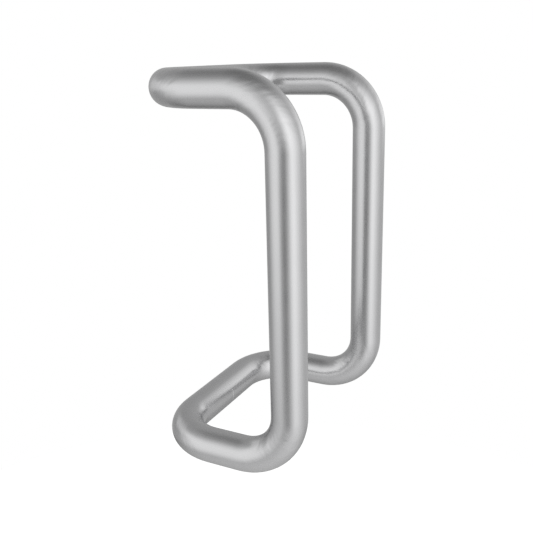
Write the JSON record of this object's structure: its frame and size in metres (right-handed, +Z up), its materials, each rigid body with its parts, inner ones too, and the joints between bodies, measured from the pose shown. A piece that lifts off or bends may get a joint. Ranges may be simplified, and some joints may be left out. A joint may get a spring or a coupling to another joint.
{
  "type": "door pull bar",
  "caption": "Back-to-back pair of offset door pull bars bent from solid round bar, closed up post to post and held by hidden studs and set screws.",
  "frame": {"origin": "on the plane where the two bars' posts meet, half way between the upper and the lower post", "axes": "+Z up along the grips, +X from the posts to the grips, -Y towards the front bar, so Y runs through the door"},
  "size_m": [0.127, 0.1778, 0.2794],
  "materials": {
    "satin_bar": "fine satin, brushed along the bar",
    "zinc_stud": "bright zinc",
    "black_screw": "black oxide"
  },
  "bodies": {
    "root": {"front_pull_bar": "satin_bar", "rear_pull_bar": "satin_bar", "upper_stud": "zinc_stud", "lower_stud": "zinc_stud", "upper_set_screw": "black_screw", "lower_set_screw": "black_screw"}
  },
  "joints": []
}
